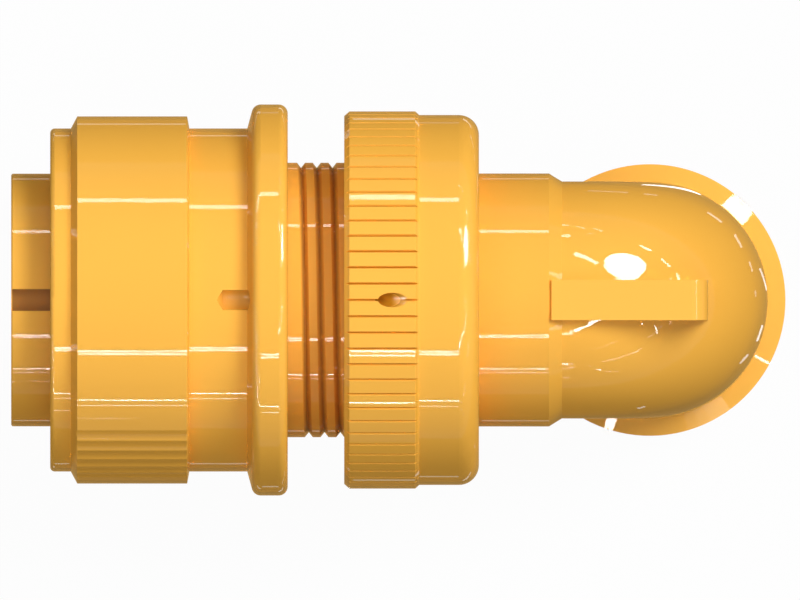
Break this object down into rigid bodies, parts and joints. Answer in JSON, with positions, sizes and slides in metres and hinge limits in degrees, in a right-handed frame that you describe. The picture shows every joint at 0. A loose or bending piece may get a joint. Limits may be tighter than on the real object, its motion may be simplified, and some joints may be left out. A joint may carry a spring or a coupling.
{
  "type": "circular cable connector plug with right-angle backshell",
  "caption": "Circular cable plug with rotating bayonet coupling nut, keyed nose, exposed accessory thread, knurled backshell ring nut and right-angle elbow outlet.",
  "frame": {"origin": "centre of the mating face, at the front end of the plug shell's nose", "axes": "-X leaves the mating face along the connector axis, +X runs to the backshell, -Z is the way the cable leaves the elbow, +Z is the side of the keyway, the flange key and the elbow's rib"},
  "size_m": [0.0852, 0.043, 0.043],
  "materials": {
    "orange_shell": "gloss",
    "insulator": "satin",
    "rubber": "matte",
    "contact_metal": "satin",
    "spring_steel": "satin",
    "bare_aluminium": "satin"
  },
  "bodies": {
    "plug": {"plug_shell": "orange_shell", "front_insert": "insulator", "rear_insert": "insulator", "insert_retaining_ring": "spring_steel", "grommet": "rubber", "peripheral_seal": "rubber", "spring_stop_ring": "spring_steel", "wave_spring": "spring_steel", "socket_contact_1": "contact_metal", "socket_contact_2": "contact_metal", "socket_contact_3": "contact_metal", "socket_contact_4": "contact_metal", "socket_contact_5": "contact_metal", "socket_contact_6": "contact_metal", "socket_contact_7": "contact_metal"},
    "washer": {"thrust_washer": "spring_steel"},
    "nut": {"coupling_nut": "orange_shell", "nut_flange_ring": "orange_shell", "flange_key_pin": "spring_steel"},
    "follower": {"grommet_follower": "bare_aluminium"},
    "elbow": {"elbow_backshell": "orange_shell", "elbow_face_seal": "rubber", "ring_nut_snap_ring": "spring_steel", "ring_nut_slip_washer": "spring_steel"},
    "ring": {"backshell_ring_nut": "orange_shell"}
  },
  "joints": [
    {"name": "nut_float", "type": "slide", "parent": "plug", "child": "washer", "axis": [-1, 0, 0], "range_m": [0, 0.001], "stiffness_N_per_m": 20000, "springref_m": -0.0005, "deforming": ["wave_spring"]},
    {"name": "nut_turn", "type": "hinge", "parent": "washer", "child": "nut", "pos_m": [0.02, 0, 0], "axis": [1, 0, 0], "continuous": true},
    {"name": "backshell_draw", "type": "slide", "parent": "plug", "child": "follower", "axis": [1, 0, 0], "range_m": [0, 0.00519]},
    {"name": "ring_turn", "type": "hinge", "parent": "follower", "child": "ring", "pos_m": [0.044, 0, 0], "axis": [1, 0, 0], "range_deg": [0, 1080]},
    {"name": "elbow_clocking", "type": "hinge", "parent": "follower", "child": "elbow", "pos_m": [0.043, 0, 0], "axis": [1, 0, 0], "continuous": true}
  ],
  "couplings": [
    {"joint": "backshell_draw", "follows": "ring_turn", "m_per_rad": 0.00027486}
  ]
}
